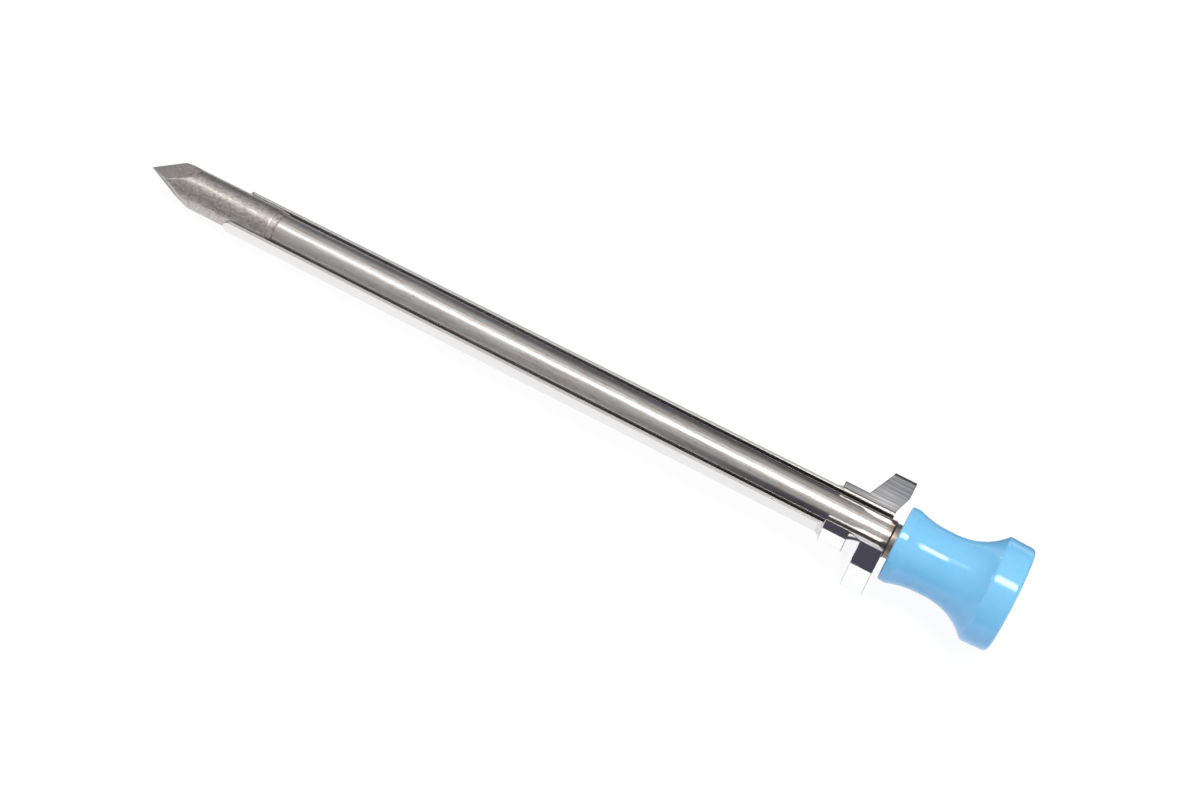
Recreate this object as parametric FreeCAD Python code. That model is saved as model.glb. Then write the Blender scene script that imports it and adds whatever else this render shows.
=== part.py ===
import FreeCAD, Part
import math
import os

from FreeCAD import Vector

# A trocar with a half-open sheath: a pointed obturator with a waisted knob slides in a slotted tube.
# All values are in millimetres and degrees. Stations are counted along the axis from the tip of the point.

# Sheath tube
TUBE_OUTER_RADIUS = 4.05
TUBE_WALL = 0.5
TUBE_LENGTH = 118.5
TUBE_EDGE_CHAMFER = 0.12
POINT_REACH = 17.2

# Slot that opens the tube from end to end, between two level lips
LIP_ANGLE = 69.0
LIP_CORNER_RADIUS = 1.6
LIP_ROUNDING = 0.1

# Slot that opens the hub, between two milled faces that part upwards
HUB_SLOT_HALF_ANGLE = 36.2
HUB_SLOT_OFFSET = 1.08

# Hub collar
SLEEVE_WALL = 1.03
SLEEVE_LENGTH = 4.0
CONE_LENGTH = 2.1
FLANGE_RADIUS = 9.5
FLANGE_WIDTH = 3.6
FLANGE_CHAMFER = 0.06
SLEEVE_CHAMFER = 0.12
COUNTERSINK_DEPTH = 0.95
COUNTERSINK_KNOB_MARGIN = 0.9
COUNTERSINK_KNOB_INSET = 1.75
COUNTERSINK_LEDGE = 0.35

# Trocar point
POINT_CLEARANCE = 0.07
POINT_LENGTH = 25.1
FACET_LENGTH = 9.5
FACET_COUNT = 3
FACET_TURN = 17.0
POINT_CHAMFER = 0.15
POINT_SPIGOT_LENGTH = 8.0

# Shaft tube
SHAFT_STEP = 0.38
SHAFT_WALL = 0.7

# Handle tang
TANG_SPIGOT_LENGTH = 9.0
TANG_NECK_STEP = 0.25
TANG_NECK_LENGTH = 1.05
TANG_STEM_RADIUS = 2.3
TANG_STEM_LENGTH = 14.5
TANG_GROOVE_DEPTH = 0.45
TANG_GROOVE_WIDTH = 1.4
TANG_GROOVE_PITCH = 4.4
TANG_GROOVE_COUNT = 2
TANG_FLAT_LENGTH = 3.0
TANG_FLAT_DEPTH = 0.5

# Handle knob
KNOB_GAP = 0.9
KNOB_FRONT_RADIUS = 6.15
KNOB_LAND_LENGTH = 1.5
KNOB_FRONT_SWEEP = 4.7
KNOB_WAIST_RADIUS = 5.3
KNOB_WAIST_LENGTH = 1.3
KNOB_REAR_SWEEP = 7.3
KNOB_RIM_RADIUS = 8.65
KNOB_RIM_LENGTH = 4.2
KNOB_RIM_DRAFT = 2.0
KNOB_FRONT_CHAMFER = 0.25
KNOB_SHOULDER_CHAMFER = 0.2
KNOB_REAR_ROUNDING = 0.65
KNOB_DISH_RADIUS = 6.2
KNOB_DISH_DEPTH = 0.35

# Brazed joints
BRAZE_GAP = 0.02
HUB_BRAZE_LENGTH = 0.9
HUB_BRAZE_HEIGHT = 0.4
POINT_BRAZE_LENGTH = 1.15
TANG_BRAZE_LENGTH = 0.3

# Values that follow from the ones above
TUBE_BORE_RADIUS = TUBE_OUTER_RADIUS - TUBE_WALL
POINT_RADIUS = TUBE_BORE_RADIUS - POINT_CLEARANCE
SHAFT_RADIUS = POINT_RADIUS - SHAFT_STEP
SHAFT_BORE_RADIUS = SHAFT_RADIUS - SHAFT_WALL
SPIGOT_RADIUS = SHAFT_BORE_RADIUS - BRAZE_GAP
TANG_NECK_RADIUS = SHAFT_RADIUS - TANG_NECK_STEP
HUB_BORE_RADIUS = TUBE_OUTER_RADIUS + BRAZE_GAP
SLEEVE_RADIUS = HUB_BORE_RADIUS + SLEEVE_WALL
COUNTERSINK_RADIUS = KNOB_FRONT_RADIUS + COUNTERSINK_KNOB_MARGIN
COUNTERSINK_FLOOR_RADIUS = max(
    TUBE_OUTER_RADIUS + COUNTERSINK_LEDGE,
    KNOB_FRONT_RADIUS - COUNTERSINK_KNOB_INSET,
)
LIP_HEIGHT = TUBE_OUTER_RADIUS * math.cos(math.radians(LIP_ANGLE))

TUBE_FRONT = POINT_REACH
TUBE_REAR = TUBE_FRONT + TUBE_LENGTH
HUB_REAR = TUBE_REAR + COUNTERSINK_DEPTH
FLANGE_FRONT = HUB_REAR - FLANGE_WIDTH
CONE_FRONT = FLANGE_FRONT - CONE_LENGTH
HUB_FRONT = CONE_FRONT - SLEEVE_LENGTH

SHAFT_FRONT = POINT_LENGTH
KNOB_FRONT = HUB_REAR + KNOB_GAP
SHAFT_REAR = KNOB_FRONT - TANG_NECK_LENGTH
KNOB_LAND_END = KNOB_FRONT + KNOB_LAND_LENGTH
KNOB_WAIST_START = KNOB_LAND_END + KNOB_FRONT_SWEEP
KNOB_WAIST_END = KNOB_WAIST_START + KNOB_WAIST_LENGTH
KNOB_SHOULDER = KNOB_WAIST_END + KNOB_REAR_SWEEP
KNOB_REAR = KNOB_SHOULDER + KNOB_RIM_LENGTH

# The finished part lies along X with its slot up, centred over the origin, with its lowest point at Z = 0.
LOWEST_RADIUS = max(FLANGE_RADIUS, KNOB_RIM_RADIUS)
PART_OFFSET = Vector(-KNOB_REAR / 2, 0, LOWEST_RADIUS)


def on_profile(point):
    station, radius = point
    return Vector(station, 0, radius)


def line(start, end):
    return Part.LineSegment(on_profile(start), on_profile(end)).toShape()


def flare(flat_end, high_end):
    """The curve that leaves the flat end along the axis and climbs to the high end."""
    run = high_end[0] - flat_end[0]
    rise = high_end[1] - flat_end[1]
    corner = (flat_end[0] + (run * run + rise * rise) / (2 * run), flat_end[1])
    curve = Part.BezierCurve()
    curve.setPoles([on_profile(flat_end), on_profile(corner), on_profile(high_end)])
    return curve.toShape()


def polyline(points):
    return [line(start, end) for start, end in zip(points, points[1:])]


def turned(edges):
    """A solid turned about the axis from a closed outline of edges."""
    face = Part.Face(Part.Wire(edges))
    return face.revolve(Vector(0, 0, 0), Vector(1, 0, 0), 360)


def turned_from_points(points):
    return turned(polyline(points + points[:1]))


def rod(start, end, radius):
    return Part.makeCylinder(radius, end - start, Vector(start, 0, 0), Vector(1, 0, 0))


def rim_edges(shape, station, radius):
    """The circular edges of a shape that lie at one station and radius."""
    found = []
    for edge in shape.Edges:
        if edge.Degenerated or not isinstance(edge.Curve, Part.Circle):
            continue
        same_place = abs(edge.Curve.Center.x - station) < 1e-4
        if same_place and abs(edge.Curve.Radius - radius) < 1e-4:
            found.append(edge)
    return found


def above_lips():
    """The block that opens the tube down to its two level lips."""
    size = 4 * TUBE_OUTER_RADIUS
    corner = Vector(TUBE_FRONT - size / 2, -size / 2, LIP_HEIGHT)
    return Part.makeBox(TUBE_LENGTH + size, size, size, corner)


def before_lip_corners():
    """The waste in front of the rounded corners where the lips meet the front of the tube."""
    front = TUBE_FRONT
    corner = LIP_CORNER_RADIUS
    side = 2 * TUBE_OUTER_RADIUS
    diagonal = corner * (1 - math.sqrt(0.5))
    round_start = on_profile((front, LIP_HEIGHT - corner))
    round_middle = on_profile((front + diagonal, LIP_HEIGHT - diagonal))
    round_end = on_profile((front + corner, LIP_HEIGHT))
    edges = [Part.Arc(round_start, round_middle, round_end).toShape()]
    edges += polyline([
        (front + corner, LIP_HEIGHT),
        (front + corner, LIP_HEIGHT + corner),
        (front - corner, LIP_HEIGHT + corner),
        (front - corner, LIP_HEIGHT - corner),
        (front, LIP_HEIGHT - corner),
    ])
    face = Part.Face(Part.Wire(edges))
    face.translate(Vector(0, -side, 0))
    return face.extrude(Vector(0, 2 * side, 0))


def hub_slot_half_width(height):
    half_angle = math.radians(HUB_SLOT_HALF_ANGLE)
    return (HUB_SLOT_OFFSET + height * math.sin(half_angle)) / math.cos(half_angle)


def hub_slot_cutter():
    """The wedge that opens the hub, from the axis upwards."""
    start = HUB_FRONT - SLEEVE_LENGTH
    top = 2 * FLANGE_RADIUS
    low_width = hub_slot_half_width(0)
    top_width = hub_slot_half_width(top)
    corners = [
        Vector(start, -low_width, 0),
        Vector(start, low_width, 0),
        Vector(start, top_width, top),
        Vector(start, -top_width, top),
    ]
    face = Part.Face(Part.makePolygon(corners + corners[:1]))
    return face.extrude(Vector(HUB_REAR + SLEEVE_LENGTH - start, 0, 0))


def lip_edges(tube):
    """The long edges of the tube's two lips, outside and in."""
    found = []
    for edge in tube.Edges:
        if edge.Degenerated or not isinstance(edge.Curve, Part.Line):
            continue
        box = edge.BoundBox
        level = abs(box.ZMin - LIP_HEIGHT) < 1e-4 and abs(box.ZMax - LIP_HEIGHT) < 1e-4
        if level and box.XLength > TUBE_LENGTH / 2:
            found.append(edge)
    return found


def braze_ring(root_station, root_radius, leg_station, leg_radius):
    """A ring of braze in a corner. The leg along the axis may run either way."""
    along_end = (root_station + leg_station, root_radius)
    across_end = (root_station, root_radius + leg_radius)
    return turned_from_points([(root_station, root_radius), along_end, across_end])


def sheath_tube():
    tube = rod(TUBE_FRONT, TUBE_REAR, TUBE_OUTER_RADIUS)
    tube = tube.makeChamfer(TUBE_EDGE_CHAMFER, rim_edges(tube, TUBE_FRONT, TUBE_OUTER_RADIUS))
    tube = tube.cut(rod(TUBE_FRONT, TUBE_REAR, TUBE_BORE_RADIUS))
    tube = tube.cut(above_lips())
    tube = tube.makeFillet(LIP_ROUNDING, lip_edges(tube))
    return tube.cut(before_lip_corners())


def hub_collar():
    collar = turned_from_points([
        (HUB_FRONT, HUB_BORE_RADIUS),
        (HUB_FRONT, SLEEVE_RADIUS),
        (CONE_FRONT, SLEEVE_RADIUS),
        (FLANGE_FRONT, FLANGE_RADIUS),
        (HUB_REAR, FLANGE_RADIUS),
        (HUB_REAR, COUNTERSINK_RADIUS),
        (TUBE_REAR, COUNTERSINK_FLOOR_RADIUS),
        (TUBE_REAR, HUB_BORE_RADIUS),
    ])
    flange_rims = rim_edges(collar, FLANGE_FRONT, FLANGE_RADIUS)
    flange_rims += rim_edges(collar, HUB_REAR, FLANGE_RADIUS)
    collar = collar.makeChamfer(FLANGE_CHAMFER, flange_rims)
    collar = collar.makeChamfer(SLEEVE_CHAMFER, rim_edges(collar, HUB_FRONT, SLEEVE_RADIUS))
    return collar.cut(hub_slot_cutter())


def hub_braze():
    ring = braze_ring(HUB_FRONT, TUBE_OUTER_RADIUS, -HUB_BRAZE_LENGTH, HUB_BRAZE_HEIGHT)
    return ring.cut(above_lips())


def facet_cutter(turn):
    """A block whose lower face is one ground facet, sloping from the tip to the full radius."""
    slope = math.degrees(math.atan2(POINT_RADIUS, FACET_LENGTH))
    size = 3 * FACET_LENGTH
    block = Part.makeBox(2 * size, size, size, Vector(-size, -size / 2, 0))
    block.rotate(Vector(0, 0, 0), Vector(0, 1, 0), -slope)
    block.rotate(Vector(0, 0, 0), Vector(1, 0, 0), turn)
    return block


def trocar_point():
    point = rod(0, SHAFT_FRONT, POINT_RADIUS)
    point = point.makeChamfer(POINT_CHAMFER, rim_edges(point, SHAFT_FRONT, POINT_RADIUS))
    for number in range(FACET_COUNT):
        turn = FACET_TURN + number * 360 / FACET_COUNT
        point = point.cut(facet_cutter(-turn))
    spigot_end = SHAFT_FRONT + POINT_SPIGOT_LENGTH
    spigot = rod(0, spigot_end, SPIGOT_RADIUS)
    spigot = spigot.makeChamfer(POINT_CHAMFER, rim_edges(spigot, spigot_end, SPIGOT_RADIUS))
    spigot = spigot.cut(rod(0, FACET_LENGTH, POINT_RADIUS))
    return point.fuse(spigot).removeSplitter()


def point_braze():
    rim = POINT_RADIUS - POINT_CHAMFER
    end = SHAFT_FRONT + POINT_BRAZE_LENGTH
    return turned_from_points([
        (SHAFT_FRONT, SHAFT_RADIUS),
        (SHAFT_FRONT, rim),
        (end - (rim - SHAFT_RADIUS), rim),
        (end, SHAFT_RADIUS),
    ])


def shaft_tube():
    return rod(SHAFT_FRONT, SHAFT_REAR, SHAFT_RADIUS).cut(rod(SHAFT_FRONT, SHAFT_REAR, SHAFT_BORE_RADIUS))


def tang_braze():
    return braze_ring(SHAFT_REAR, TANG_NECK_RADIUS, TANG_BRAZE_LENGTH, SHAFT_RADIUS - TANG_NECK_RADIUS)


def tang_stem():
    """The end that the knob is moulded onto, with ring grooves against pull and flats against turning."""
    stem_end = KNOB_FRONT + TANG_STEM_LENGTH
    stem = rod(KNOB_FRONT, stem_end, TANG_STEM_RADIUS)
    groove_floor = TANG_STEM_RADIUS - TANG_GROOVE_DEPTH
    for number in range(TANG_GROOVE_COUNT):
        start = KNOB_FRONT + TANG_GROOVE_WIDTH + number * TANG_GROOVE_PITCH
        end = start + TANG_GROOVE_WIDTH
        stem = stem.cut(rod(start, end, 2 * TANG_STEM_RADIUS).cut(rod(start, end, groove_floor)))
    flat_height = TANG_STEM_RADIUS - TANG_FLAT_DEPTH
    size = 2 * TANG_STEM_RADIUS
    for low in (flat_height, -flat_height - size):
        corner = Vector(stem_end - TANG_FLAT_LENGTH, low, -size / 2)
        stem = stem.cut(Part.makeBox(TANG_FLAT_LENGTH, size, size, corner))
    return stem


def handle_tang():
    spigot_start = SHAFT_REAR - TANG_SPIGOT_LENGTH
    spigot = rod(spigot_start, SHAFT_REAR, SPIGOT_RADIUS)
    spigot = spigot.makeChamfer(POINT_CHAMFER, rim_edges(spigot, spigot_start, SPIGOT_RADIUS))
    neck = rod(SHAFT_REAR, KNOB_FRONT, TANG_NECK_RADIUS)
    return spigot.fuse([neck, tang_stem()]).removeSplitter()


def palm_dish():
    """The ball that hollows the knob's rear end."""
    ball_radius = (KNOB_DISH_RADIUS ** 2 + KNOB_DISH_DEPTH ** 2) / (2 * KNOB_DISH_DEPTH)
    return Part.makeSphere(ball_radius, Vector(KNOB_REAR - KNOB_DISH_DEPTH + ball_radius, 0, 0))


def handle_knob():
    rear_radius = KNOB_RIM_RADIUS - KNOB_RIM_LENGTH * math.tan(math.radians(KNOB_RIM_DRAFT))
    land_end = (KNOB_LAND_END, KNOB_FRONT_RADIUS)
    waist_start = (KNOB_WAIST_START, KNOB_WAIST_RADIUS)
    waist_end = (KNOB_WAIST_END, KNOB_WAIST_RADIUS)
    shoulder = (KNOB_SHOULDER, KNOB_RIM_RADIUS)
    edges = polyline([(KNOB_FRONT, 0), (KNOB_FRONT, KNOB_FRONT_RADIUS), land_end])
    edges.append(flare(waist_start, land_end))
    edges.append(line(waist_start, waist_end))
    edges.append(flare(waist_end, shoulder))
    edges += polyline([shoulder, (KNOB_REAR, rear_radius), (KNOB_REAR, 0), (KNOB_FRONT, 0)])
    knob = turned(edges)
    knob = knob.makeChamfer(KNOB_FRONT_CHAMFER, rim_edges(knob, KNOB_FRONT, KNOB_FRONT_RADIUS))
    knob = knob.makeChamfer(KNOB_SHOULDER_CHAMFER, rim_edges(knob, KNOB_SHOULDER, KNOB_RIM_RADIUS))
    knob = knob.makeFillet(KNOB_REAR_ROUNDING, rim_edges(knob, KNOB_REAR, rear_radius))
    return knob.cut([tang_stem(), palm_dish()])


PIECES = {
    "sheath_tube": sheath_tube,
    "hub_collar": hub_collar,
    "hub_braze": hub_braze,
    "trocar_point": trocar_point,
    "point_braze": point_braze,
    "shaft_tube": shaft_tube,
    "tang_braze": tang_braze,
    "handle_tang": handle_tang,
    "handle_knob": handle_knob,
}


def main():
    os.makedirs("parts", exist_ok=True)
    for name, make in PIECES.items():
        shape = make()
        shape.translate(PART_OFFSET)
        shape.exportStep("parts/" + name + ".step")
        box = shape.BoundBox
        print(name, "solids", len(shape.Solids), "valid", shape.isValid(), "volume %.2f" % shape.Volume,
              "x %.2f %.2f" % (box.XMin, box.XMax), "y %.2f %.2f" % (box.YMin, box.YMax),
              "z %.2f %.2f" % (box.ZMin, box.ZMax))


main()
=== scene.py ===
import math

import bpy
from mathutils import Matrix, Vector


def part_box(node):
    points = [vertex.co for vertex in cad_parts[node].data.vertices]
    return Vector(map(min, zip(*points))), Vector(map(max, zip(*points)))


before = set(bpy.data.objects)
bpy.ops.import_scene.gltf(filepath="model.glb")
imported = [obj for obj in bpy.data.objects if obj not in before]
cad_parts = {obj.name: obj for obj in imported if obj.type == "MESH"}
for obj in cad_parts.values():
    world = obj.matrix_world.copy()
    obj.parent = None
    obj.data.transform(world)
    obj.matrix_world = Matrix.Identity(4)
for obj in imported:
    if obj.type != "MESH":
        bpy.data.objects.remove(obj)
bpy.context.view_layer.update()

# Lengths are in metres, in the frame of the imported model: the instrument lies along X with its slot up.
# Angles are in degrees.
MM = 0.001

# Places that the finishes and the stage follow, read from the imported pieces
SHAFT_LOW, SHAFT_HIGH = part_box("shaft_tube")
TUBE_LOW, TUBE_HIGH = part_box("sheath_tube")
HUB_LOW, HUB_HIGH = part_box("hub_collar")
POINT_LOW, POINT_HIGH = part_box("trocar_point")
AXIS_HEIGHT = (SHAFT_LOW.z + SHAFT_HIGH.z) / 2
TUBE_RADIUS = AXIS_HEIGHT - TUBE_LOW.z
LIP_HEIGHT = TUBE_HIGH.z - AXIS_HEIGHT
POINT_RADIUS = (POINT_HIGH.z - POINT_LOW.z) / 2

# Slot faces and walls, as in the construction
HUB_SLOT_HALF_ANGLE = 36.2
HUB_SLOT_OFFSET = 1.08 * MM
TUBE_WALL = 0.5 * MM
FLANGE_WIDTH = 3.6 * MM
TUBE_EDGE_CHAMFER = 0.12 * MM
FACET_LENGTH = 9.5 * MM

# Where the finishes and the painted shade change along the instrument
FACETS_END = POINT_LOW.x + 2 * FACET_LENGTH
TIP_PAINTED_SHADE_FULL = POINT_LOW.x + 4 * MM
TIP_PAINTED_SHADE_END = POINT_LOW.x + 8 * MM
BORE_PAINTED_SHADE_END = HUB_LOW.x - 60 * MM

# The colours of each braze, from its tarnished hollows to its bright crests
POINT_BRAZE_COLOURS = ((0.42, 0.32, 0.27), (0.58, 0.52, 0.48), (0.70, 0.67, 0.65))
HUB_BRAZE_COLOURS = ((0.62, 0.59, 0.56), (0.76, 0.75, 0.74), (0.84, 0.83, 0.83))
TANG_BRAZE_COLOURS = ((0.16, 0.11, 0.08), (0.28, 0.20, 0.15), (0.44, 0.35, 0.29))

# Camera, fitted to the photograph
CAMERA_AZIMUTH = 22.225
CAMERA_ELEVATION = 57.918
CAMERA_ROLL = 7.762
CAMERA_DISTANCE = 252.06 * MM
CAMERA_TARGET = Vector((8.76 * MM, -1.07 * MM, 9.5 * MM))
CAMERA_LENS = 48.0
CAMERA_SENSOR = 36.0


def add(tree, kind, inputs=None, **settings):
    """Adds a node to a tree, with its settings, values and links, and returns it."""
    made = tree.nodes.new(kind)
    for key, value in settings.items():
        setattr(made, key, value)
    for key, value in (inputs or {}).items():
        socket = made.inputs[key]
        if isinstance(value, bpy.types.NodeSocket):
            tree.links.new(value, socket)
        else:
            socket.default_value = value
    return made


def calc(tree, operation, *values):
    """The result of a Math node on numbers or sockets."""
    inputs = dict(enumerate(values))
    return add(tree, "ShaderNodeMath", inputs, operation=operation).outputs[0]


def ramp(tree, factor, stops):
    """A colour ramp. Each stop is a place and a colour, and a single number is a grey."""
    made = add(tree, "ShaderNodeValToRGB", {"Fac": factor})
    elements = made.color_ramp.elements
    stops = list(stops)
    while len(elements) < len(stops):
        elements.new(0.5)
    for element, (place, colour) in zip(elements, stops):
        if isinstance(colour, (int, float)):
            colour = (colour, colour, colour)
        element.position = place
        element.color = (*colour, 1)
    return made.outputs["Color"]


def mix(tree, factor, first, second, blend="MIX"):
    """Two colours mixed. The colours and the factor may be values or sockets."""
    made = add(tree, "ShaderNodeMix", data_type="RGBA", blend_type=blend)
    for index, value in ((0, factor), (6, first), (7, second)):
        socket = made.inputs[index]
        if isinstance(value, bpy.types.NodeSocket):
            tree.links.new(value, socket)
        elif index == 0:
            socket.default_value = value
        else:
            socket.default_value = (*value, 1)
    return made.outputs[2]


def span(tree, value, low, high, out_low=0.0, out_high=1.0):
    """A value mapped smoothly from one span to another, and held at its ends."""
    inputs = {"Value": value, "From Min": low, "From Max": high, "To Min": out_low, "To Max": out_high}
    return add(tree, "ShaderNodeMapRange", inputs, interpolation_type="SMOOTHSTEP").outputs["Result"]


def noise(tree, point, scale, stretch=(1, 1, 1), detail=3.0, roughness=0.5):
    """Noise with cells of about 1 / scale metres, drawn out along an axis where its stretch is above 1."""
    squeeze = [1 / s for s in stretch]
    mapped = add(tree, "ShaderNodeMapping", {"Vector": point, "Scale": squeeze}).outputs[0]
    inputs = {"Vector": mapped, "Scale": scale, "Detail": detail, "Roughness": roughness}
    return add(tree, "ShaderNodeTexNoise", inputs).outputs["Fac"]


class Surface:
    """One material: its node tree, its shader, and the places on the instrument that its finish follows."""

    def __init__(self, name, **values):
        self.material = bpy.data.materials.new(name)
        self.material.use_nodes = True
        self.tree = self.material.node_tree
        self.tree.nodes.clear()
        self.shader = add(self.tree, "ShaderNodeBsdfPrincipled")
        output = add(self.tree, "ShaderNodeOutputMaterial")
        self.tree.links.new(self.shader.outputs[0], output.inputs["Surface"])
        for key, value in values.items():
            self.shader.inputs[key.replace("_", " ")].default_value = value
        self.point = add(self.tree, "ShaderNodeTexCoord").outputs["Object"]
        parts = add(self.tree, "ShaderNodeSeparateXYZ", {0: self.point})
        self.along = parts.outputs["X"]
        self.across = parts.outputs["Y"]
        self.height = calc(self.tree, "SUBTRACT", parts.outputs["Z"], AXIS_HEIGHT)

    def set(self, **sockets):
        for key, socket in sockets.items():
            self.tree.links.new(socket, self.shader.inputs[key.replace("_", " ")])

    def radius(self):
        squares = [calc(self.tree, "MULTIPLY", v, v) for v in (self.across, self.height)]
        return calc(self.tree, "SQRT", calc(self.tree, "ADD", *squares))

    def near_station(self, station, reach):
        """One at a place along the axis, falling to nothing at that reach."""
        away = calc(self.tree, "ABSOLUTE", calc(self.tree, "SUBTRACT", self.along, station))
        return span(self.tree, away, 0, reach, 1, 0)

    def milled_face(self):
        """One on the hub's two milled slot faces, nothing elsewhere."""
        half = math.radians(HUB_SLOT_HALF_ANGLE)
        side = calc(self.tree, "MULTIPLY", calc(self.tree, "ABSOLUTE", self.across), math.cos(half))
        rise = calc(self.tree, "MULTIPLY", self.height, math.sin(half))
        distance = calc(self.tree, "SUBTRACT", calc(self.tree, "SUBTRACT", side, rise), HUB_SLOT_OFFSET)
        return span(self.tree, calc(self.tree, "ABSOLUTE", distance), 0.02 * MM, 0.05 * MM, 1, 0)

    def near_edges(self, width):
        """One along the sharp edges of the piece, falling to nothing about that far away."""
        rounded = add(self.tree, "ShaderNodeBevel", {"Radius": width}, samples=6).outputs["Normal"]
        flat = add(self.tree, "ShaderNodeNewGeometry").outputs["True Normal"]
        inputs = {0: rounded, 1: flat}
        match = add(self.tree, "ShaderNodeVectorMath", inputs, operation="DOT_PRODUCT").outputs["Value"]
        return span(self.tree, match, 0.90, 0.995, 1, 0)

    def bump(self, height, strength, distance, rounding=None):
        """Relief from a height. A rounding lets sharp edges catch light as if rounded to that radius."""
        inputs = {"Height": height, "Strength": strength, "Distance": distance}
        if rounding:
            rounded = add(self.tree, "ShaderNodeBevel", {"Radius": rounding}, samples=6)
            inputs["Normal"] = rounded.outputs["Normal"]
        self.set(Normal=add(self.tree, "ShaderNodeBump", inputs).outputs["Normal"])

    def paint(self, node):
        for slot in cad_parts[node].material_slots:
            slot.material = self.material


def shaft_steel():
    """Satin steel, drawn lengthwise, with warm specks and a brown heat tint by its brazed ends."""
    surface = Surface("shaft_finish", Metallic=1.0)
    tree = surface.tree
    grain = noise(tree, surface.point, 9000, (60, 1, 1), 2)
    cloud = noise(tree, surface.point, 350, (3, 1, 1), 4)
    speckle = noise(tree, surface.point, 2400, (2.5, 1, 1), 3)
    streak = noise(tree, surface.point, 2600, (14, 1, 1), 2)
    colour = mix(tree, cloud, (0.58, 0.555, 0.53), (0.68, 0.665, 0.65))
    colour = mix(tree, span(tree, speckle, 0.45, 0.62, 0, 0.7), colour, (0.58, 0.49, 0.43))
    colour = mix(tree, span(tree, streak, 0.40, 0.62, 0, 0.5), colour, (0.76, 0.76, 0.77))
    blotch = span(tree, noise(tree, surface.point, 900, (1, 1, 1), 3), 0.40, 0.60, 0, 0.5)
    warm = surface.near_station(SHAFT_LOW.x, 3.0 * MM)
    colour = mix(tree, calc(tree, "MULTIPLY", warm, blotch), colour, (0.66, 0.50, 0.42))
    rear = surface.near_station(SHAFT_HIGH.x, 1.3 * MM)
    colour = mix(tree, calc(tree, "MULTIPLY", rear, 0.75), colour, (0.42, 0.29, 0.20))
    worn = span(tree, surface.along, SHAFT_LOW.x, HUB_LOW.x, 0.30, 0.20)
    rough = calc(tree, "ADD", worn, span(tree, cloud, 0.2, 0.8, -0.03, 0.05))
    surface.set(Base_Color=colour, Roughness=rough)
    surface.bump(grain, 0.35, 0.01 * MM)
    return surface


def point_steel():
    """Softly polished steel, mottled, with ground facets, a darker tip, painted shade on the ground facet
    facing -Y near the tip, and ridges worn round and lightened, partly as wear and partly as a painted
    highlight.
    """
    surface = Surface("point_finish", Metallic=1.0)
    tree = surface.tree
    cloud = noise(tree, surface.point, 420, (2, 1, 1), 4)
    speckle = noise(tree, surface.point, 2300, (1.5, 1, 1), 3)
    pale = noise(tree, surface.point, 2900, (2, 1, 1), 2)
    grain = noise(tree, surface.point, 7000, (20, 1, 1), 2)
    colour = mix(tree, cloud, (0.50, 0.475, 0.455), (0.60, 0.58, 0.57))
    colour = mix(tree, span(tree, speckle, 0.44, 0.60, 0, 0.8), colour, (0.42, 0.35, 0.31))
    colour = mix(tree, span(tree, pale, 0.52, 0.68, 0, 0.5), colour, (0.74, 0.73, 0.73))
    ground = span(tree, surface.radius(), POINT_RADIUS - 0.10 * MM, POINT_RADIUS - 0.03 * MM, 1, 0)
    ground = calc(tree, "MULTIPLY", ground, calc(tree, "LESS_THAN", surface.along, FACETS_END))
    colour = mix(tree, ground, colour, (1.08, 1.06, 1.05), "MULTIPLY")
    tip = surface.near_station(POINT_LOW.x, 6 * MM)
    colour = mix(tree, calc(tree, "MULTIPLY", tip, 0.45), colour, (0.30, 0.28, 0.27))
    # Painted shade: the ground facet that faces -Y is darkened near the tip, standing in for the dark
    # reflection of the shaded floor there.
    normal = add(tree, "ShaderNodeNewGeometry").outputs["True Normal"]
    sideways = add(tree, "ShaderNodeSeparateXYZ", {0: normal}).outputs["Y"]
    painted_shade_facet = calc(tree, "MULTIPLY", ground, calc(tree, "LESS_THAN", sideways, -0.75))
    shade = span(tree, surface.along, TIP_PAINTED_SHADE_FULL, TIP_PAINTED_SHADE_END, 0.7, 0)
    colour = mix(tree, calc(tree, "MULTIPLY", painted_shade_facet, shade), colour, (0.14, 0.13, 0.13))
    # The ridges are lightened, partly as edge wear and partly as a painted highlight.
    edge = calc(tree, "MULTIPLY", surface.near_edges(0.26 * MM), calc(tree, "SUBTRACT", 1, tip))
    colour = mix(tree, edge, colour, (0.98, 0.96, 0.94))
    blotch = span(tree, noise(tree, surface.point, 900, (1, 1, 1), 3), 0.40, 0.60, 0, 0.5)
    warm = surface.near_station(SHAFT_LOW.x, 2.4 * MM)
    colour = mix(tree, calc(tree, "MULTIPLY", warm, blotch), colour, (0.60, 0.49, 0.43))
    rough = span(tree, cloud, 0.2, 0.8, 0.31, 0.40)
    rough = calc(tree, "MAXIMUM", rough, calc(tree, "MULTIPLY", ground, 0.50))
    rough = calc(tree, "SUBTRACT", rough, calc(tree, "MULTIPLY", edge, 0.07))
    surface.set(Base_Color=colour, Roughness=rough)
    relief = calc(tree, "ADD", grain, calc(tree, "MULTIPLY", speckle, 0.5))
    surface.bump(relief, 0.35, 0.012 * MM, 0.50 * MM)
    return surface


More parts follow.
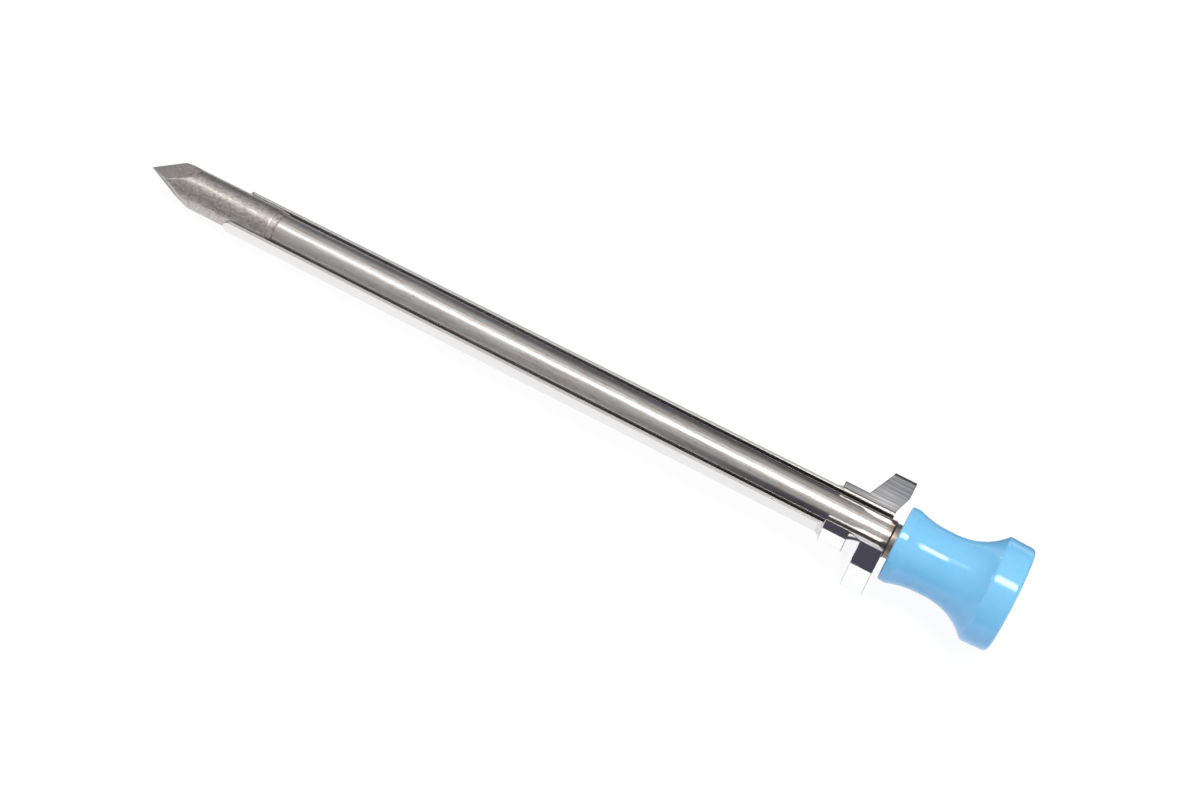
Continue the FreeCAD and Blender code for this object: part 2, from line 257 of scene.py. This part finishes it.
def sheath_steel():
    """Polished tube with bright level lips and a dull bore, with painted shade in the bore that deepens
    towards the hub.
    """
    surface = Surface("sheath_finish", Metallic=1.0)
    tree = surface.tree
    scratches = noise(tree, surface.point, 6000, (90, 1, 1), 2)
    cloud = noise(tree, surface.point, 260, (4, 1, 1), 3)
    inside = span(tree, surface.radius(), TUBE_RADIUS - TUBE_WALL, TUBE_RADIUS - TUBE_WALL / 2, 1, 0)
    lip = span(tree, surface.height, LIP_HEIGHT - 0.12 * MM, LIP_HEIGHT - 0.04 * MM)
    colour = mix(tree, cloud, (0.74, 0.73, 0.73), (0.84, 0.84, 0.84))
    # Painted shade: the bore is darkened throughout, and most near the hub.
    bore_painted_shade_level = span(tree, surface.along, HUB_LOW.x, BORE_PAINTED_SHADE_END, 0.34, 0.80)
    bore = mix(tree, bore_painted_shade_level, (0, 0, 0), (1, 1, 1.05))
    colour = mix(tree, inside, colour, bore)
    colour = mix(tree, lip, colour, (0.66, 0.65, 0.64))
    rough = span(tree, cloud, 0.3, 0.8, 0.12, 0.20)
    rough = calc(tree, "MAXIMUM", rough, calc(tree, "MULTIPLY", inside, 0.55))
    rough = calc(tree, "MAXIMUM", rough, calc(tree, "MULTIPLY", lip, 0.28))
    surface.set(Base_Color=colour, Roughness=rough)
    surface.bump(scratches, 0.15, 0.006 * MM)
    return surface


def hub_steel():
    """Mirror-polished turned faces and milled slot faces, with the cutter's lines along the axis, and painted
    shade along the sharp edges.
    """
    surface = Surface("hub_finish", Metallic=1.0)
    tree = surface.tree
    cut = surface.milled_face()
    lines = noise(tree, surface.point, 4200, (40, 1, 1), 3)
    turning = noise(tree, surface.point, 700, (1, 30, 30), 2)
    cloud = noise(tree, surface.point, 300, (1, 1, 1), 3)
    colour = mix(tree, cloud, (0.88, 0.88, 0.89), (0.95, 0.95, 0.96))
    milled = mix(tree, span(tree, lines, 0.3, 0.7), (0.52, 0.51, 0.52), (0.96, 0.95, 0.95))
    colour = mix(tree, cut, colour, milled)
    # Painted shade: the sharp edges are darkened almost to black, standing in for dark reflections in their
    # rounding.
    edge = surface.near_edges(0.30 * MM)
    colour = mix(tree, edge, colour, (0.08, 0.08, 0.09))
    rough = span(tree, cloud, 0.2, 0.8, 0.05, 0.10)
    rough = calc(tree, "MAXIMUM", rough, calc(tree, "MULTIPLY", cut, 0.50))
    surface.set(Base_Color=colour, Roughness=rough)
    height = mix(tree, cut, turning, lines)
    surface.bump(height, 0.25, 0.012 * MM, 0.10 * MM)
    return surface


def braze_metal(name, colours, relief):
    """Silver braze, slightly uneven and unevenly tarnished."""
    surface = Surface(name, Metallic=1.0)
    tree = surface.tree
    cloud = noise(tree, surface.point, 1400, (1, 1, 1), 4)
    lumps = noise(tree, surface.point, 800, (1, 1, 1), 2)
    colour = ramp(tree, cloud, zip((0.3, 0.5, 0.7), colours))
    surface.set(Base_Color=colour, Roughness=span(tree, cloud, 0.2, 0.8, 0.30, 0.46))
    surface.bump(calc(tree, "ADD", lumps, calc(tree, "MULTIPLY", cloud, 0.4)), relief, 0.10 * MM)
    return surface


def tang_steel():
    """Turned steel with fine rings and a brown heat tint."""
    surface = Surface("tang_finish", Metallic=1.0)
    tree = surface.tree
    rings = noise(tree, surface.point, 9000, (1, 40, 40), 2)
    cloud = noise(tree, surface.point, 1200, (1, 1, 1), 3)
    colour = mix(tree, cloud, (0.30, 0.22, 0.17), (0.52, 0.44, 0.38))
    surface.set(Base_Color=colour, Roughness=span(tree, cloud, 0.2, 0.8, 0.40, 0.52))
    surface.bump(rings, 0.3, 0.01 * MM)
    return surface


def knob_plastic():
    """Glossy moulded plastic, faintly mottled, with an orange-peel skin and paler worn edges."""
    surface = Surface("knob_finish", IOR=1.5, Subsurface_Weight=0.12, Subsurface_Scale=1.2 * MM)
    tree = surface.tree
    cloud = noise(tree, surface.point, 220, (1, 1, 1), 4)
    speckle = noise(tree, surface.point, 2600, (1, 1, 1), 3)
    peel = noise(tree, surface.point, 900, (1, 1, 1), 2)
    colour = mix(tree, cloud, (0.17, 0.52, 0.84), (0.23, 0.59, 0.89))
    colour = mix(tree, span(tree, speckle, 0.5, 0.75, 0, 0.35), colour, (0.26, 0.61, 0.91))
    edge = calc(tree, "MULTIPLY", surface.near_edges(0.35 * MM), span(tree, speckle, 0.3, 0.6, 0.15, 0.6))
    colour = mix(tree, edge, colour, (0.42, 0.72, 0.96))
    surface.set(Base_Color=colour, Roughness=span(tree, cloud, 0.2, 0.8, 0.10, 0.17))
    surface.bump(peel, 0.08, 0.05 * MM)
    return surface


def dress_pieces():
    shaft_steel().paint("shaft_tube")
    point_steel().paint("trocar_point")
    sheath_steel().paint("sheath_tube")
    hub_steel().paint("hub_collar")
    braze_metal("point_braze_finish", POINT_BRAZE_COLOURS, 0.6).paint("point_braze")
    braze_metal("hub_braze_finish", HUB_BRAZE_COLOURS, 0.3).paint("hub_braze")
    braze_metal("tang_braze_finish", TANG_BRAZE_COLOURS, 0.4).paint("tang_braze")
    tang_steel().paint("handle_tang")
    knob_plastic().paint("handle_knob")


def place_camera():
    azimuth, elevation, roll = (math.radians(v) for v in (CAMERA_AZIMUTH, CAMERA_ELEVATION, CAMERA_ROLL))
    level = math.cos(elevation)
    toward = Vector((math.sin(azimuth) * level, -math.cos(azimuth) * level, math.sin(elevation)))
    flat_right = Vector((math.cos(azimuth), math.sin(azimuth), 0))
    flat_up = toward.cross(flat_right)
    right = flat_right * math.cos(roll) + flat_up * math.sin(roll)
    up = flat_up * math.cos(roll) - flat_right * math.sin(roll)
    eye = CAMERA_TARGET + toward * CAMERA_DISTANCE
    data = bpy.data.cameras.new("camera")
    data.lens = CAMERA_LENS
    data.sensor_width = CAMERA_SENSOR
    data.clip_start = 0.01
    camera = bpy.data.objects.new("camera", data)
    camera.matrix_world = rows_to_matrix(right, up, toward, eye)
    bpy.context.scene.collection.objects.link(camera)
    bpy.context.scene.camera = camera


def rows_to_matrix(right, up, toward, place):
    """The matrix of an object with these axes, X right, Y up and Z towards the viewer, at a place."""
    matrix = Matrix((right, up, toward)).transposed().to_4x4()
    matrix.translation = place
    return matrix


# Floor: it touches the flange's front edge and the underside of the sheath's front end, as a table would.
# The glow and the grey together show white, and the bounce is the tint that it throws back at the instrument.
FLOOR_SIZE = 6.0
FLOOR_GLOW = 0.92
FLOOR_GREY = (0.14, 0.14, 0.14, 1)
FLOOR_BOUNCE = (0.92, 0.84, 0.98, 1)


def floor_slope():
    flange_edge = HUB_HIGH.x - FLANGE_WIDTH
    front_edge = TUBE_LOW.x + TUBE_EDGE_CHAMFER
    return (TUBE_LOW.z - HUB_LOW.z) / (flange_edge - front_edge)


def floor_material():
    """White to the camera and in reflections, and darker only where the instrument shades it."""
    material = bpy.data.materials.new("floor_white")
    material.use_nodes = True
    tree = material.node_tree
    tree.nodes.clear()
    path = add(tree, "ShaderNodeLightPath")
    seen = calc(tree, "MAXIMUM", path.outputs["Is Camera Ray"], path.outputs["Is Glossy Ray"])
    seen = calc(tree, "MAXIMUM", seen, path.outputs["Is Transmission Ray"])
    glow = add(tree, "ShaderNodeEmission", {"Color": (1, 1, 1, 1), "Strength": FLOOR_GLOW})
    matte = add(tree, "ShaderNodeBsdfDiffuse", {"Color": FLOOR_GREY})
    shown = add(tree, "ShaderNodeAddShader", {0: glow.outputs[0], 1: matte.outputs[0]})
    plain = add(tree, "ShaderNodeBsdfDiffuse", {"Color": FLOOR_BOUNCE})
    mixed = add(tree, "ShaderNodeMixShader", {0: seen, 1: plain.outputs[0], 2: shown.outputs[0]})
    add(tree, "ShaderNodeOutputMaterial", {"Surface": mixed.outputs[0]})
    return material


def lay_floor():
    slope = floor_slope()
    flange_edge = HUB_HIGH.x - FLANGE_WIDTH
    half = FLOOR_SIZE / 2
    corners = []
    for x, y in ((-half, -half), (half, -half), (half, half), (-half, half)):
        corners.append((x, y, HUB_LOW.z + (flange_edge - x) * slope))
    mesh = bpy.data.meshes.new("floor")
    mesh.from_pydata(corners, [], [(0, 1, 2, 3)])
    mesh.materials.append(floor_material())
    floor = bpy.data.objects.new("floor", mesh)
    bpy.context.scene.collection.objects.link(floor)


# Dark cards: one stands in front of the hub, and low ones in front of the sheath and behind the instrument.
# Only reflections show them.
CARD_COLOUR = (0.070, 0.066, 0.086, 1)
FRONT_CARD = {
    "from_x": 0, "to_x": 110 * MM, "y": -60 * MM, "top": 60 * MM, "fade_x": 38 * MM, "fade_z": 12 * MM,
}
LOW_CARD = {
    "from_x": -450 * MM, "to_x": 38 * MM, "y": -30 * MM, "top": 11 * MM, "fade_x": 100 * MM, "fade_z": 3 * MM,
}
BACK_CARD = {
    "from_x": -450 * MM, "to_x": 200 * MM, "y": 20 * MM, "top": 15 * MM, "fade_x": 100 * MM, "fade_z": 5 * MM,
}


def card_material(name, card):
    material = bpy.data.materials.new(name)
    material.use_nodes = True
    tree = material.node_tree
    tree.nodes.clear()
    point = add(tree, "ShaderNodeTexCoord").outputs["Object"]
    parts = add(tree, "ShaderNodeSeparateXYZ", {0: point})
    front = span(tree, parts.outputs["X"], card["from_x"], card["from_x"] + card["fade_x"])
    top = span(tree, parts.outputs["Z"], card["top"] - card["fade_z"], card["top"], 1, 0)
    path = add(tree, "ShaderNodeLightPath")
    shown = calc(tree, "MULTIPLY", path.outputs["Is Glossy Ray"], calc(tree, "MULTIPLY", front, top))
    clear = add(tree, "ShaderNodeBsdfTransparent")
    dark = add(tree, "ShaderNodeEmission", {"Color": CARD_COLOUR, "Strength": 1.0})
    mixed = add(tree, "ShaderNodeMixShader", {0: shown, 1: clear.outputs[0], 2: dark.outputs[0]})
    add(tree, "ShaderNodeOutputMaterial", {"Surface": mixed.outputs[0]})
    return material


def stand_card(name, card):
    mesh = bpy.data.meshes.new(name)
    low, high = card["from_x"], card["to_x"]
    corners = [(x, card["y"], z) for x, z in ((low, 0), (high, 0), (high, card["top"]), (low, card["top"]))]
    mesh.from_pydata(corners, [], [(0, 1, 2, 3)])
    mesh.materials.append(card_material(name, card))
    made = bpy.data.objects.new(name, mesh)
    bpy.context.scene.collection.objects.link(made)


# Lamps: a long dim strip draws the bright line on the steel, and a key lamp beyond it lights the knob.
# Each end is a place along the axis, an angle about it and a distance from it.
# The angle is nought straight up and grows towards the camera's side.
STRIP_LAMP = {"start": (0.06, 2.0, 0.38), "end": (-1.40, -5.8, 1.39), "width": 0.128, "radiance": 2.2}
KEY_LAMP = {"start": (0.048, 2.5, 0.38), "end": (0.225, 2.5, 0.38), "width": 0.085, "radiance": 16.0}


def beside_axis(along, angle, distance):
    turn = math.radians(angle)
    return Vector((along, -math.sin(turn) * distance, AXIS_HEIGHT + math.cos(turn) * distance))


def add_lamp(name, lamp):
    """A rectangle of light from one place to another, turned to face the instrument's axis."""
    start, end = beside_axis(*lamp["start"]), beside_axis(*lamp["end"])
    run = (end - start).normalized()
    middle = (start + end) / 2
    outward = Vector((0, middle.y, middle.z - AXIS_HEIGHT))
    facing = (outward - run * outward.dot(run)).normalized()
    data = bpy.data.lights.new(name, "AREA")
    data.shape = "RECTANGLE"
    data.size = (end - start).length
    data.size_y = lamp["width"]
    data.energy = lamp["radiance"] * math.pi * data.size * lamp["width"]
    made = bpy.data.objects.new(name, data)
    made.matrix_world = rows_to_matrix(run, facing.cross(run), facing, middle)
    bpy.context.scene.collection.objects.link(made)


# World: bands about the instrument's axis, dark behind it, pale overhead, grey on the camera's side.
# Each is an angle, counted like the lamps', and a grey or a colour.
WORLD_BANDS = (
    (-100, 0.12), (-76, (0.12, 0.12, 0.14)), (-62, 0.34), (-48, 0.48), (-36, 0.62),
    (-24, 0.80), (6, 0.72), (22, 0.56), (45, 0.47), (60, 0.37), (96, 0.33),
)


def build_world():
    world = bpy.data.worlds.new("studio")
    bpy.context.scene.world = world
    world.use_nodes = True
    tree = world.node_tree
    tree.nodes.clear()
    direction = add(tree, "ShaderNodeTexCoord").outputs["Generated"]
    parts = add(tree, "ShaderNodeSeparateXYZ", {0: direction})
    front = calc(tree, "MULTIPLY", parts.outputs["Y"], -1)
    angle = calc(tree, "ARCTAN2", front, parts.outputs["Z"])
    place = calc(tree, "ADD", calc(tree, "DIVIDE", angle, 2 * math.pi), 0.5)
    shade = ramp(tree, place, ((0.5 + degrees / 360, colour) for degrees, colour in WORLD_BANDS))
    path = add(tree, "ShaderNodeLightPath")
    colour = mix(tree, path.outputs["Is Camera Ray"], shade, (1, 1, 1))
    background = add(tree, "ShaderNodeBackground", {"Color": colour, "Strength": 1.0})
    add(tree, "ShaderNodeOutputWorld", {"Surface": background.outputs[0]})


def main():
    dress_pieces()
    place_camera()
    lay_floor()
    stand_card("front_card", FRONT_CARD)
    stand_card("low_card", LOW_CARD)
    stand_card("back_card", BACK_CARD)
    add_lamp("strip_lamp", STRIP_LAMP)
    add_lamp("key_lamp", KEY_LAMP)
    build_world()
    bpy.context.scene.view_settings.view_transform = "Standard"


main()
